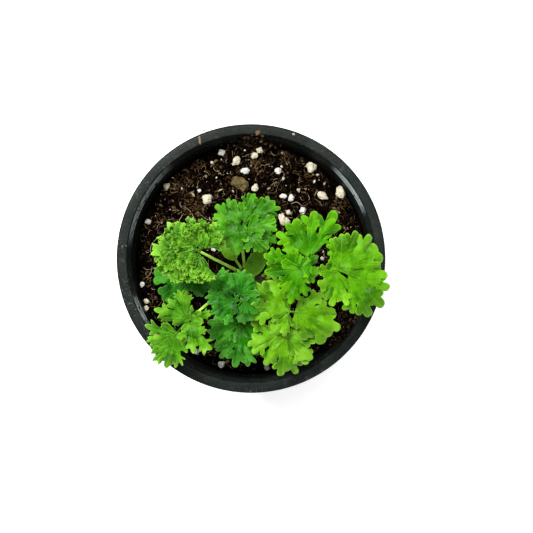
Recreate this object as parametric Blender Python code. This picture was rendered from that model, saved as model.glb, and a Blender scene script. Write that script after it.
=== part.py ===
"""Young curly parsley in a round nursery pot: pot, potting soil, perlite, crowns, stalks and leaves.

Metres, +Z up. The origin is the middle of the pot's underside, on the surface the pot stands on.
"""

from math import cos, pi, radians, sin
from random import Random

import bmesh
import bpy
from mathutils import Matrix, Vector, noise
from mathutils.geometry import delaunay_2d_cdt

MM = 0.001
GAP = 0.3 * MM  # left between pieces that touch

# pot: a four inch round nursery pot
POT_HEIGHT = 90 * MM
RIM_RADIUS = 52 * MM
RIM_WIDTH = 4 * MM
SKIRT_DEPTH = 9 * MM
BASE_RADIUS = 37 * MM
NECK_RADIUS = 47.9 * MM  # outside of the wall, at the lower edge of the skirt
WALL = 1.2 * MM
STEP_DEPTH = 6 * MM  # stacking step inside the rim
STEP_WIDTH = 0.9 * MM
RIM_ROUND = 0.8 * MM
SKIRT_DRAFT = 0.4 * MM  # the skirt narrows by this towards its lower edge
HEEL_CHAMFER = 1 * MM
SLOT_WIDTH = 9 * MM
SLOT_HEIGHT = 3.5 * MM
SLOT_INNER = 31 * MM
SLOTS = 4
POT_STEPS = 48

# soil and what lies on it
SOIL_TOP = 79.5 * MM
SOIL_RINGS = 6
SOIL_BUMP = 0.7 * MM
SOIL_BUMP_SIZE = 11 * MM
PERLITE = [  # x, y, length, width in mm and turn in degrees of the bigger grains
    (-5.9, 38.6, 4.4, 3.0, 55),
    (1.2, 40.5, 3.0, 2.6, 10),
    (-2.2, 34.6, 3.6, 2.5, 20),
    (3.2, 43.0, 3.2, 2.6, 150),
    (1.4, 28.0, 3.0, 2.6, 80),
    (10.6, 34.6, 3.0, 2.6, 0),
    (23.6, 36.2, 4.2, 3.7, 30),
    (35.2, 26.0, 5.6, 3.7, 100),
    (28.2, 24.8, 4.2, 2.9, 170),
    (-17.4, 23.4, 4.0, 3.8, 45),
    (-11.7, 41.9, 3.0, 2.4, 0),
    (20.2, 19.0, 2.9, 2.5, 90),
    (12.4, 15.6, 4.8, 2.9, 115),
    (-33.4, 28.6, 2.9, 2.5, 60),
    (-41.0, 14.6, 2.5, 2.3, 0),
    (-11.8, -41.8, 3.2, 3.0, 20),
    (-21.9, -36.6, 3.2, 2.4, 140),
    (6.2, -43.0, 2.6, 2.2, 0),
]
BARK = (-4.2, 29.6, 6.4, 4.2, 165)

# plant
CROWNS = {"crown_left": (-3.3, -6.1), "crown_right": (3.6, -8.9)}  # x, y in mm
CROWN_TOP = 82.5 * MM
CROWN_FOOT = 69 * MM
CROWN_RADIUS = 2.6 * MM
TAPROOT_SHARE = 0.45  # of the crown's radius, at its foot
CROWN_RING = 2.05 * MM  # the stalks leave the crown on this ring
CROWN_SIDES = 12
STALK_RADIUS = 0.5 * MM
STALK_FOOT, STALK_TIP = 1.1, 0.8  # its taper
STALK_POINTS = 8
BLADE = 0.5 * MM  # thickness of a leaf blade
HUB_RADIUS = 1.2 * MM
RACHIS_WIDTH = 1.2 * MM
LOBE_SLENDERNESS, LOBE_LEAST = 0.21, 0.4  # half width of a lobe, by its length and in mm
DROOP = 0.9 * MM  # fall of a blade 10 mm out from its hub
STALK_RISE = 0.66
SEED_LEAF_BEND = 0.02  # fall in mm at 1 mm from its middle, growing with the square
CLOSE = 0.02  # outline points nearer than this, in mm, are one

# Every leaf: hub x, y, z in mm, crown, bearing of its stalk on the crown, outward fall of the blade in mm
# per mm, and its leaflets. A leaflet is the bearing and length of its own little stalk, and its lobes, each
# the bearing and length from there.
LEAVES = {
    "a": dict(hub=(-18.4, 2.5, 119), crown="crown_left", bearing=140, fall=0.12, leaflets=[
        (60, 1.5, [(20, 8), (62, 9), (102, 10)]),
        (170, 1.8, [(135, 13), (165, 14.5), (195, 15), (215, 12)]),
        (250, 1.5, [(245, 9), (285, 8)])]),
    "b": dict(hub=(-24, -8.1, 101), crown="crown_left", bearing=184, fall=0.1, leaflets=[
        (160, 1.2, [(142, 10), (175, 11.5)]),
        (225, 1.2, [(208, 10.5), (245, 10)]),
        (330, 1.0, [(25, 9), (342, 8), (300, 10)])]),
    "c": dict(hub=(-23.2, -23.1, 110), crown="crown_left", bearing=222, fall=0.15, leaflets=[
        (115, 1.3, [(175, 10.5), (146, 12), (112, 10), (75, 9)]),
        (230, 6.6, [(168, 11), (195, 11.5), (222, 12.5), (250, 12.5), (282, 12)]),
        (312, 2.2, [(15, 9), (320, 12), (275, 10)])]),
    "d": dict(hub=(-3.7, 10.7, 110), crown="crown_left", bearing=60, fall=0.08, leaflets=[
        (200, 1.0, [(160, 9), (190, 9), (235, 9.5), (275, 8.5)]),
        (108, 1.2, [(143, 11), (112, 10.5), (78, 12.5)]),
        (18, 1.2, [(52, 14), (22, 14), (350, 13), (318, 10.5)])]),
    "e": dict(hub=(-5.2, -15.4, 111), crown="crown_left", bearing=304, fall=0.1, leaflets=[
        (190, 0.8, [(150, 12), (188, 10.5), (228, 11.5)]),
        (90, 1.1, [(122, 12.5), (88, 10)]),
        (330, 0.8, [(20, 10), (330, 8), (280, 10)])]),
    "f": dict(hub=(-3.7, -24.6, 100), crown="crown_left", bearing=263, fall=0.1, leaflets=[
        (200, 0.8, [(170, 12.5), (200, 13), (232, 13.5)]),
        (270, 1.0, [(260, 14), (285, 14)]),
        (330, 1.0, [(318, 8), (10, 6.5)])]),
    "g": dict(hub=(14.7, -19.9, 107.5), crown="crown_right", bearing=308, fall=0.12, leaflets=[
        (125, 0.8, [(188, 10.5), (160, 14), (125, 12.5)]),
        (350, 2.6, [(36, 12), (4, 14), (335, 16), (305, 13)]),
        (245, 1.7, [(228, 7.5), (265, 6.5)])]),
    "h": dict(hub=(18.1, -2.7, 114), crown="crown_right", bearing=30, fall=0.06, leaflets=[
        (145, 0.7, [(172, 12.5), (145, 11), (108, 8)]),
        (15, 1.2, [(60, 7), (18, 7.5), (335, 9)]),
        (270, 0.8, [(208, 10), (238, 13.5), (272, 12.5), (308, 9)]),
        (66, 7.5, [(160, 12), (132, 11.5), (100, 12), (74, 12.5), (50, 15), (26, 12)])]),
    "j": dict(hub=(31.8, -4.2, 119), crown="crown_right", bearing=348, fall=0.15, rise=0.22, leaflets=[
        (70, 1.2, [(125, 9), (95, 12), (65, 14), (35, 15.5), (8, 14.5)]),
        (340, 9.5, [(18, 9.5), (340, 11), (305, 12), (268, 13)]),
        (265, 1.2, [(218, 9.5), (255, 12), (292, 11)])]),
    "k": dict(hub=(12.7, -29, 103), crown="crown_right", bearing=266, fall=0.12, leaflets=[
        (185, 1.4, [(160, 11), (190, 10), (222, 10)]),
        (270, 1.1, [(238, 12), (268, 13), (292, 13.5)]),
        (345, 1.5, [(315, 12), (345, 9), (20, 7)])]),
}
SEED_LEAVES = [  # crown, bearing on the crown, middle of the blade x, y, z, its length and width, its turn
    ("crown_left", 100, (-8.6, 3.4, 92), 9.5, 5.2, 125),
    ("crown_left", 20, (2.0, -0.6, 90), 9.5, 6.0, 60),
    ("crown_right", 72, (9.6, -3.4, 89), 8.0, 4.6, 25),
]
SHOOT_HEIGHT = 9 * MM
SHOOT_RADIUS = 0.85 * MM

COLOURS = {  # colour, roughness
    "pot": ((0.030, 0.033, 0.031), 0.42),
    "soil": ((0.022, 0.013, 0.008), 0.95),
    "perlite": ((0.78, 0.74, 0.66), 0.85),
    "bark": ((0.17, 0.085, 0.04), 0.9),
    "crown": ((0.24, 0.12, 0.05), 0.7),
    "stalk": ((0.20, 0.46, 0.05), 0.45),
    "leaf": ((0.08, 0.36, 0.02), 0.45),
    "seed_leaf": ((0.10, 0.22, 0.03), 0.5),
}
GRAIN_SEED = 11
GRAIN_ROUGHNESS = 0.22
GRAIN_HEIGHT = 0.8  # of its width
GRAIN_GAP = 1.5 * GAP  # the facets of the soil stray a little from its formula


def clear_scene():
    for obj in list(bpy.data.objects):
        bpy.data.objects.remove(obj, do_unlink=True)


def material(name):
    found = bpy.data.materials.get(name)
    if found:
        return found
    colour, roughness = COLOURS[name]
    made = bpy.data.materials.new(name)
    made.use_nodes = True
    shader = made.node_tree.nodes["Principled BSDF"]
    shader.inputs["Base Color"].default_value = (*colour, 1)
    shader.inputs["Roughness"].default_value = roughness
    shader.inputs["Metallic"].default_value = 0
    return made


def add_object(name, bm, kind, smooth=30):
    mesh = bpy.data.meshes.new(name)
    bm.normal_update()
    bm.to_mesh(mesh)
    bm.free()
    mesh.shade_smooth()
    mesh.set_sharp_from_angle(angle=radians(smooth))
    mesh.materials.append(material(kind))
    obj = bpy.data.objects.new(name, mesh)
    bpy.context.collection.objects.link(obj)
    return obj


def polar(bearing, length):
    return Vector((cos(radians(bearing)), sin(radians(bearing)))) * length


def turned(profile, steps):
    """A closed body of revolution from (radius, height) points, the first and last of them on the axis."""
    bm = bmesh.new()
    rings = []
    for radius, height in profile:
        if radius < 1e-9:
            rings.append([bm.verts.new((0, 0, height))])
        else:
            turns = [2 * pi * i / steps for i in range(steps)]
            rings.append([bm.verts.new((radius * cos(a), radius * sin(a), height)) for a in turns])
    for low, high in zip(rings, rings[1:]):
        for i in range(steps):
            j = (i + 1) % steps
            corners = [low[i % len(low)], low[j % len(low)], high[j % len(high)], high[i % len(high)]]
            bm.faces.new(list(dict.fromkeys(corners)))
    bmesh.ops.recalc_face_normals(bm, faces=bm.faces)
    return bm


def wall_radius(height):
    """Outside of the pot's wall."""
    skirt_foot = POT_HEIGHT - SKIRT_DEPTH
    return BASE_RADIUS + (NECK_RADIUS - BASE_RADIUS) * (height - HEEL_CHAMFER) / (skirt_foot - HEEL_CHAMFER)


def build_pot():
    foot = POT_HEIGHT - SKIRT_DEPTH
    flange = POT_HEIGHT - WALL
    step = POT_HEIGHT - STEP_DEPTH
    rim_inner = RIM_RADIUS - RIM_WIDTH
    wall_inner = wall_radius(step) - WALL
    floor_radius = wall_radius(WALL) - 2 * WALL
    profile = [
        (0, 0),
        (BASE_RADIUS - HEEL_CHAMFER, 0),
        (BASE_RADIUS, HEEL_CHAMFER),
        (wall_radius(flange), flange),
        (RIM_RADIUS - WALL, flange),
        (RIM_RADIUS - WALL - SKIRT_DRAFT, foot),
        (RIM_RADIUS - SKIRT_DRAFT, foot),
        (RIM_RADIUS, POT_HEIGHT - RIM_ROUND),
        (RIM_RADIUS - RIM_ROUND, POT_HEIGHT),
        (rim_inner + RIM_ROUND / 2, POT_HEIGHT),
        (rim_inner, POT_HEIGHT - RIM_ROUND / 2),
        (wall_inner + STEP_WIDTH, step),
        (wall_inner, step - STEP_WIDTH / 2),
        (floor_radius + WALL, 2 * WALL),
        (floor_radius, WALL),
        (0, WALL),
    ]
    pot = add_object("pot", turned(profile, POT_STEPS), "pot", smooth=35)
    for i in range(SLOTS):
        bm = bmesh.new()
        bmesh.ops.create_cube(bm, size=1)
        length = 2 * (BASE_RADIUS - SLOT_INNER)
        bmesh.ops.scale(bm, vec=(length, SLOT_WIDTH, 2 * SLOT_HEIGHT), verts=bm.verts)
        bmesh.ops.translate(bm, vec=(SLOT_INNER + length / 2, 0, 0), verts=bm.verts)
        cutter = add_object(f"slot_cutter_{i + 1}", bm, "pot")
        cutter.rotation_euler.z = 2 * pi * i / SLOTS
        cutter.hide_render = True
        cutter.display_type = "WIRE"
        cut = pot.modifiers.new(f"drain slot {i + 1}", "BOOLEAN")
        cut.operation = "DIFFERENCE"
        cut.solver = "EXACT"
        cut.object = cutter


def soil_height(x, y):
    bump = noise.noise(Vector((x, y, 0)) / SOIL_BUMP_SIZE)
    return SOIL_TOP + SOIL_BUMP * bump


def build_soil():
    bottom = WALL + GAP
    low_radius = wall_radius(2 * WALL) - 2 * WALL - 2 * GAP
    top_radius = wall_radius(SOIL_TOP) - WALL - 2 * GAP
    bm = turned([(0, bottom), (low_radius, bottom)]
                + [(top_radius * (SOIL_RINGS - i) / SOIL_RINGS, SOIL_TOP) for i in range(SOIL_RINGS + 1)],
                POT_STEPS)
    for vert in bm.verts:
        if vert.co.z > SOIL_TOP / 2:
            vert.co.z = soil_height(vert.co.x, vert.co.y)
    soil = add_object("soil", bm, "soil", smooth=60)
    for name, (x, y) in CROWNS.items():
        pocket = turned([(0, CROWN_FOOT - GAP), (TAPROOT_SHARE * CROWN_RADIUS + GAP, CROWN_FOOT - GAP),
                         (CROWN_RADIUS + GAP, CROWN_TOP), (0, CROWN_TOP)], CROWN_SIDES)
        cutter = add_object(f"{name}_pocket", pocket, "soil")
        cutter.location = (x * MM, y * MM, 0)
        cutter.hide_render = True
        cutter.display_type = "WIRE"
        cut = soil.modifiers.new(name, "BOOLEAN")
        cut.operation = "DIFFERENCE"
        cut.solver = "EXACT"
        cut.object = cutter


def build_grain(name, kind, grain, rng):
    """One rough grain, lying on the soil."""
    x, y, length, width, turn = grain
    bm = bmesh.new()
    bmesh.ops.create_icosphere(bm, subdivisions=2, radius=0.5)
    for vert in bm.verts:
        vert.co *= 1 + GRAIN_ROUGHNESS * (rng.random() - 0.5)
    bmesh.ops.scale(bm, vec=(length * MM, width * MM, GRAIN_HEIGHT * width * MM), verts=bm.verts)
    bmesh.ops.rotate(bm, matrix=Matrix.Rotation(radians(turn), 3, "Z"), verts=bm.verts)
    bmesh.ops.translate(bm, vec=(x * MM, y * MM, 0), verts=bm.verts)
    sink = min(vert.co.z - soil_height(vert.co.x, vert.co.y) for vert in bm.verts)
    bmesh.ops.translate(bm, vec=(0, 0, GRAIN_GAP - sink), verts=bm.verts)
    add_object(name, bm, kind, smooth=40)


def build_crowns():
    for name, (x, y) in CROWNS.items():
        bm = turned([(0, CROWN_FOOT), (TAPROOT_SHARE * CROWN_RADIUS, CROWN_FOOT), (CROWN_RADIUS, CROWN_TOP - 1 * MM),
                     (0.92 * CROWN_RADIUS, CROWN_TOP), (0, CROWN_TOP)], CROWN_SIDES)
        bmesh.ops.translate(bm, vec=(x * MM, y * MM, 0), verts=bm.verts)
        add_object(name, bm, "crown")


def build_stalk(name, crown, bearing, seat, rise):
    """A stalk from the top of its crown to just under its seat. rise is the share of its height that it has
    gained where its two tangents meet, halfway out: above 0.5 it climbs first and then bends over."""
    x, y = CROWNS[crown]
    foot = Vector((*(Vector((x, y)) * MM + polar(bearing, CROWN_RING)), CROWN_TOP))
    bend = foot.lerp(seat, 0.5)
    bend.z = foot.z + (seat.z - foot.z) * rise
    start = clear_of(foot, bend, GAP, STALK_FOOT)
    end = clear_of(seat, bend, -GAP, STALK_TIP)
    curve = bpy.data.curves.new(name, "CURVE")
    curve.dimensions = "3D"
    curve.bevel_depth = STALK_RADIUS
    curve.bevel_resolution = 1
    curve.use_fill_caps = True
    spline = curve.splines.new("POLY")
    spline.points.add(STALK_POINTS - 1)
    for i, point in enumerate(spline.points):
        t = i / (STALK_POINTS - 1)
        point.co = (*((1 - t) ** 2 * start + 2 * t * (1 - t) * bend + t ** 2 * end), 1)
        point.radius = STALK_FOOT + (STALK_TIP - STALK_FOOT) * t
    curve.materials.append(material("stalk"))
    bpy.context.collection.objects.link(bpy.data.objects.new(name, curve))


def clear_of(place, bend, gap, taper):
    """place moved up or down so that a stalk's slanting end keeps the gap to it."""
    lean = (bend - place).normalized().xy.length
    slack = abs(gap) + STALK_RADIUS * taper * lean
    return place + Vector((0, 0, slack if gap > 0 else -slack))


def lobe_outline(base, bearing, length):
    """A lobe with three blunt teeth at its end, in the plane, in mm."""
    half = LOBE_SLENDERNESS * length + LOBE_LEAST
    side = [(0, 0.35), (0.4, 0.55), (0.66, 0.8), (0.84, 1.0), (0.84, 0.5), (0.98, 0.34)]
    along = polar(bearing, 1)
    across = Vector((-along.y, along.x))
    right = [base + along * (s * length) - across * (w * half) for s, w in side]
    left = [base + along * (s * length) + across * (w * half) for s, w in reversed(side)]
    return right + left


def strip_outline(start, end, width):
    along = (end - start).normalized()
    across = Vector((-along.y, along.x)) * width / 2
    return [start - across, end - across, end + across, start + across]


def ring_outline(centre, radius, sides, stretch=1.0, turn=0.0):
    points = []
    for i in range(sides):
        flat = polar(360 * i / sides, radius)
        flat.x *= stretch
        points.append(centre + flat.x * polar(turn, 1) + flat.y * polar(turn + 90, 1))
    return points


def triangulate(outlines, middles):
    """Flat points and the triangles over the union of closed outlines."""
    points = [point for outline in outlines for point in outline]
    starts = [sum(len(outline) for outline in outlines[:i]) for i in range(len(outlines))]
    faces = [list(range(start, start + len(outline))) for start, outline in zip(starts, outlines)]
    flat, _, triangles, *_ = delaunay_2d_cdt(points + middles, [], faces, 1, CLOSE)
    return flat, triangles


def border(triangles):
    """The edges that only one triangle has, each with the body on its left."""
    edges = {edge for a, b, c in triangles for edge in [(a, b), (b, c), (c, a)]}
    return [(a, b) for a, b in sorted(edges) if (b, a) not in edges]


def outer_loop(flat, triangles):
    """The longest border, walked once round."""
    following = dict(border(triangles))
    loops = []
    while following:
        loop = [next(iter(following))]
        while loop[-1] in following:
            loop.append(following.pop(loop[-1]))
        loops.append([flat[i] for i in loop[:-1]])
    return max(loops, key=len)


def slab(outlines, middles, height_at, thickness):
    """A thin closed body over the union of flat outlines, in mm, with the middles as points of its faces.
    height_at gives its underside."""
    outline = outer_loop(*triangulate(outlines, []))
    flat, triangles = triangulate([outline], middles)
    bm = bmesh.new()
    under = [bm.verts.new((*(point * MM), height_at(point) * MM)) for point in flat]
    over = [bm.verts.new((*(point * MM), height_at(point) * MM + thickness)) for point in flat]
    for a, b, c in triangles:
        bm.faces.new((over[a], over[b], over[c]))
        bm.faces.new((under[c], under[b], under[a]))
    for a, b in border(triangles):
        bm.faces.new((under[a], under[b], over[b], over[a]))
    bmesh.ops.delete(bm, geom=[vert for vert in bm.verts if not vert.link_faces], context="VERTS")
    return bm


def build_leaf(name, leaf):
    hub = Vector(leaf["hub"][:2])
    height = leaf["hub"][2]
    outward = hub.normalized()
    outlines = [ring_outline(hub, HUB_RADIUS / MM, 8)]
    middles = [hub]
    for bearing, length, lobes in leaf["leaflets"]:
        base = hub + polar(bearing, length)
        middles.append(base + polar(lobes[len(lobes) // 2][0], 0.5 * lobes[0][1]))
        outlines.append(strip_outline(hub, base + polar(bearing, 1), RACHIS_WIDTH / MM))
        outlines.extend(lobe_outline(base, lobe_bearing, lobe_length) for lobe_bearing, lobe_length in lobes)

    def height_at(point):
        away = point - hub
        return height - leaf["fall"] * away.dot(outward) - DROOP / MM * (away.length / 10) ** 2

    add_object(f"leaf_{name}", slab(outlines, middles, height_at, BLADE), "leaf")
    build_stalk(f"stalk_{name}", leaf["crown"], leaf["bearing"], Vector(leaf["hub"]) * MM,
                leaf.get("rise", STALK_RISE))


def build_seed_leaf(number, crown, bearing, centre, length, width, turn):
    middle = Vector(centre[:2])

    def height_at(point):
        return centre[2] - SEED_LEAF_BEND * (point - middle).length ** 2

    outline = ring_outline(middle, width / 2, 12, stretch=length / width, turn=turn)
    add_object(f"seed_leaf_{number}", slab([outline], [middle], height_at, BLADE), "seed_leaf")
    root = middle + polar(turn, -0.3 * length)
    build_stalk(f"seed_leaf_stalk_{number}", crown, bearing, Vector((*root, height_at(root))) * MM, 0.5)


def build_shoot():
    x, y = CROWNS["crown_left"]
    profile = [(0, 0), (0.6 * SHOOT_RADIUS, 0), (0.6 * SHOOT_RADIUS, 0.5 * SHOOT_HEIGHT),
               (SHOOT_RADIUS, 0.75 * SHOOT_HEIGHT), (0.3 * SHOOT_RADIUS, SHOOT_HEIGHT), (0, SHOOT_HEIGHT)]
    bm = turned(profile, 8)
    bmesh.ops.translate(bm, vec=(x * MM, y * MM, CROWN_TOP + GAP), verts=bm.verts)
    add_object("new_shoot", bm, "stalk")


clear_scene()
build_pot()
build_soil()
rng = Random(GRAIN_SEED)
for number, grain in enumerate(PERLITE, 1):
    build_grain(f"perlite_{number:02d}", "perlite", grain, rng)
build_grain("bark_chip", "bark", BARK, rng)
build_crowns()
for name, leaf in LEAVES.items():
    build_leaf(name, leaf)
for number, seed_leaf in enumerate(SEED_LEAVES, 1):
    build_seed_leaf(number, *seed_leaf)
build_shoot()
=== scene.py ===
import math
import random

import bmesh
import bpy
from mathutils import Matrix, Vector, noise


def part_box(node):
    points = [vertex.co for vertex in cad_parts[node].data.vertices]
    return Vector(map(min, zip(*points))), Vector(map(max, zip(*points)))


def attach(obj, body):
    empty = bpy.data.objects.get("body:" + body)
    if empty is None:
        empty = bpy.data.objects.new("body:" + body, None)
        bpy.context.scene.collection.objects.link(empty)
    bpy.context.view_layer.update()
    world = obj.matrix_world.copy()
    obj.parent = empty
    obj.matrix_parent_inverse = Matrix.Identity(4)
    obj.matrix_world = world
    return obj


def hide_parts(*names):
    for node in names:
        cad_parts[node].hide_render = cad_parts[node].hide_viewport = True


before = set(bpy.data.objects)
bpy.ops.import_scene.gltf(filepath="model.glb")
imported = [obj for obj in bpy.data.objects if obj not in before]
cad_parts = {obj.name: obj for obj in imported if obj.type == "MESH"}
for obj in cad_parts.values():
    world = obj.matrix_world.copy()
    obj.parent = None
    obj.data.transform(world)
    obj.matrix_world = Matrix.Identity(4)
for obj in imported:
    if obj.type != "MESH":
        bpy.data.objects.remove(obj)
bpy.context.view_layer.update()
potLow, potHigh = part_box("pot")
rimTop = potHigh.z
rimRadius = potHigh.x
mm = 0.001
up = Vector((0, 0, 1))
print("frame loaded:", len(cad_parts), "nodes")


# small tools that every piece uses

def polar(bearing, length=1.0):
    return Vector((math.cos(bearing), math.sin(bearing), 0)) * length


def smoothStep(low, high, x):
    t = min(1.0, max(0.0, (x - low) / (high - low)))
    return t * t * (3 - 2 * t)


def wobble(place, size, seed=0.0):
    # smooth noise between about -1 and 1, in swells about as long as size
    return noise.noise(Vector((place[0] / size + seed, place[1] / size - seed, place[2] / size)))


def ringTurns(count):
    return [2 * math.pi * i / count for i in range(count)]


def addObject(name, data):
    made = bpy.data.objects.new(name, data)
    bpy.context.scene.collection.objects.link(made)
    return made


def addMeshObject(name, bm, materials=()):
    mesh = bpy.data.meshes.new(name)
    bm.to_mesh(mesh)
    bm.free()
    for mat in materials:
        mesh.materials.append(mat)
    return addObject(name, mesh)


def makePiece(name, bm, materials, replaced=()):
    bm.normal_update()
    piece = addMeshObject(name, bm, materials)
    piece.data.shade_smooth()
    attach(piece, "root")
    if replaced:
        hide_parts(*replaced)
    return piece


def startMesh():
    bm = bmesh.new()
    bm.verts.layers.float_color.new("shade")
    bm.loops.layers.uv.new("grain")
    return bm


def addSkin(bm, rings):
    # faces from each ring of points to the next; a ring may be one point over and over
    faces = []
    for low, high in zip(rings, rings[1:]):
        for i in range(len(low)):
            j = (i + 1) % len(low)
            faces.append(bm.faces.new(list(dict.fromkeys((low[i], low[j], high[j], high[i])))))
    return faces


def addCaps(bm, rings):
    bm.faces.new(list(reversed(rings[0])))
    bm.faces.new(rings[-1])


def addGrid(bm, rows):
    # faces between rows of (point, its place on the surface); the places become the UV map
    uv = bm.loops.layers.uv["grain"]
    for left, right in zip(rows, rows[1:]):
        for j in range(len(left) - 1):
            corners = [left[j], left[j + 1], right[j + 1], right[j]]
            if corners[0][0] is corners[3][0]:
                corners.pop()
            face = bm.faces.new([vert for vert, _ in corners])
            for loop, (_, place) in zip(face.loops, corners):
                loop[uv].uv = place


def addTube(bm, points, radii, sides, shade):
    # a round tube through points, closed at both ends
    layer = bm.verts.layers.float_color["shade"]
    uv = bm.loops.layers.uv["grain"]
    rings = []
    side = None
    for i, point in enumerate(points):
        ahead = points[min(i + 1, len(points) - 1)] - points[max(i - 1, 0)]
        ahead.normalize()
        if side is None:
            side = ahead.orthogonal().normalized()
        side = (side - ahead * side.dot(ahead)).normalized()
        other = ahead.cross(side)
        ring = []
        for turn in ringTurns(sides):
            vert = bm.verts.new(point + (side * math.cos(turn) + other * math.sin(turn)) * radii[i])
            vert[layer] = shade
            ring.append(vert)
        rings.append(ring)
    for place, face in enumerate(addSkin(bm, rings)):
        i, k = divmod(place, sides)
        for loop, (a, b) in zip(face.loops, ((k, i), (k + 1, i), (k + 1, i + 1), (k, i + 1))):
            loop[uv].uv = (a / sides, b / (len(rings) - 1))
    addCaps(bm, rings)


def faceUp(bm):
    bm.normal_update()
    bmesh.ops.reverse_faces(bm, faces=[face for face in bm.faces if face.normal.z < 0])


def bezier(a, b, c, count):
    steps = [i / (count - 1) for i in range(count)]
    return [(1 - t) ** 2 * a + 2 * t * (1 - t) * b + t * t * c for t in steps]


# a short way to write a material's nodes

class Nodes:
    # a material's node tree, with its Principled shader ready
    def __init__(self, name):
        self.material = bpy.data.materials.new(name)
        self.material.use_nodes = True
        self.tree = self.material.node_tree
        self.shader = self.tree.nodes["Principled BSDF"]

    def add(self, kind, inputs=None, **settings):
        node = self.tree.nodes.new("ShaderNode" + kind)
        for key, value in settings.items():
            setattr(node, key, value)
        for key, value in (inputs or {}).items():
            self.put(value, node.inputs[key])
        return node

    def put(self, value, socket):
        # joins a node's output to the socket, or writes a plain value on it
        if isinstance(value, bpy.types.NodeSocket):
            self.tree.links.new(value, socket)
        elif isinstance(value, bpy.types.Node):
            self.tree.links.new(value.outputs[0], socket)
        elif isinstance(value, tuple) and len(value) == 3 and socket.type == "RGBA":
            socket.default_value = (*value, 1)
        else:
            socket.default_value = value

    def shade(self, **inputs):
        # sets the shader's own sockets, with _ for the spaces in their names
        for key, value in inputs.items():
            self.put(value, self.shader.inputs[key.replace("_", " ")])

    def mix(self, share, first, second):
        node = self.add("Mix", data_type="RGBA")
        self.put(share, node.inputs["Factor"])
        self.put(first, node.inputs["A"])
        self.put(second, node.inputs["B"])
        return node.outputs["Result"]

    def math(self, operation, *values):
        node = self.add("Math", operation=operation)
        for socket, value in zip(node.inputs, values):
            self.put(value, socket)
        return node.outputs[0]

    def plus(self, first, second):
        return self.math("ADD", first, second)

    def times(self, first, second):
        return self.math("MULTIPLY", first, second)

    def ramp(self, value, low, high, start=0.0, end=1.0):
        node = self.add("MapRange", {"Value": value, "From Min": low, "From Max": high,
                                     "To Min": start, "To Max": end}, interpolation_type="SMOOTHSTEP")
        return node.outputs["Result"]

    def noise(self, scale, detail=3.0, roughness=0.55, place=None):
        node = self.add("TexNoise", {"Scale": scale, "Detail": detail, "Roughness": roughness})
        self.put(place or self.place(), node.inputs["Vector"])
        return node.outputs["Fac"]

    def cells(self, scale, place):
        return self.add("TexVoronoi", {"Vector": place, "Scale": scale}).outputs["Distance"]

    def tone(self):
        # the colour that the mesh carries
        return self.add("Attribute", attribute_name="shade").outputs["Color"]

    def grain(self):
        # places across and along the surface
        return self.add("SeparateXYZ", {"Vector": self.add("UVMap", uv_map="grain").outputs[0]}).outputs[:2]

    def place(self):
        return self.add("TexCoord").outputs["Object"]

    def bump(self, height, strength, distance):
        node = self.add("Bump", {"Height": height, "Strength": strength, "Distance": distance})
        self.put(node.outputs["Normal"], self.shader.inputs["Normal"])


# the camera looks straight down at the pot

cameraSet = {
    "height": 420 * mm,  # above the rim
    "aim": (6.0 * mm, -3.1 * mm),  # from the pot's axis
    "width": 205.7 * mm,  # of the view at the rim
    "sensor": 36,
}


def makeCamera():
    camera = addObject("camera", bpy.data.cameras.new("camera"))
    camera.location = (*cameraSet["aim"], rimTop + cameraSet["height"])
    camera.data.sensor_width = cameraSet["sensor"]
    camera.data.lens = cameraSet["sensor"] * cameraSet["height"] / cameraSet["width"]
    camera.data.clip_start = 0.01
    camera.data.clip_end = 20
    bpy.context.scene.camera = camera


makeCamera()
print("camera placed")


# a white table under a soft sky, one key light and one fill

studio = {
    "floorSize": 6.0,
    "floorTones": [(0.93, 0.93, 0.93), (0.95, 0.95, 0.95)],
    "floorGlow": 0.6,  # the white table is lit from below too
    "skyLow": 1.0,
    "skyHigh": 0.19,
    "keyPower": 21.0,
    "keyPlace": (-0.45, 0.45, 1.1),
    "fillPower": 5.5,
    "fillPlace": (0.05, 0.3, 1.2),
    "lightSize": 0.4,
    "aim": Vector((0, 0, 0.09)),
}


def makeLight(name):
    lamp = addObject(name + "Light", bpy.data.lights.new(name + "Light", "AREA"))
    lamp.data.shape = "DISK"
    lamp.data.size = studio["lightSize"]
    lamp.data.energy = studio[name + "Power"]
    lamp.location = studio[name + "Place"]
    lamp.rotation_euler = (studio["aim"] - lamp.location).to_track_quat("-Z", "Y").to_euler()


def makeFloor():
    bm = bmesh.new()
    bmesh.ops.create_grid(bm, x_segments=4, y_segments=4, size=studio["floorSize"] / 2)
    paint = Nodes("floorPaint")
    paint.shade(Base_Color=paint.mix(paint.noise(40, 2), *studio["floorTones"]), Roughness=0.9,
                Emission_Color=(1, 1, 1), Emission_Strength=studio["floorGlow"])
    floor = addMeshObject("floor", bm, [paint.material])
    floor.location.z = potLow.z


def makeSky():
    world = bpy.data.worlds.new("studioSky")
    world.use_nodes = True
    tree = world.node_tree
    split = tree.nodes.new("ShaderNodeSeparateXYZ")
    tree.links.new(tree.nodes.new("ShaderNodeTexCoord").outputs["Generated"], split.inputs[0])
    fade = tree.nodes.new("ShaderNodeMapRange")
    fade.interpolation_type = "SMOOTHSTEP"
    reach = {"From Min": 0.1, "From Max": 0.85, "To Min": studio["skyLow"], "To Max": studio["skyHigh"]}
    for socket, value in reach.items():
        fade.inputs[socket].default_value = value
    tree.links.new(split.outputs["Z"], fade.inputs["Value"])
    tree.nodes["Background"].inputs["Color"].default_value = (1, 1, 1, 1)
    tree.links.new(fade.outputs["Result"], tree.nodes["Background"].inputs["Strength"])
    bpy.context.scene.world = world


makeFloor()
makeSky()
makeLight("key")
makeLight("fill")
bpy.context.scene.view_settings.view_transform = "Standard"
print("studio lit")


# the nursery pot

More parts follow.
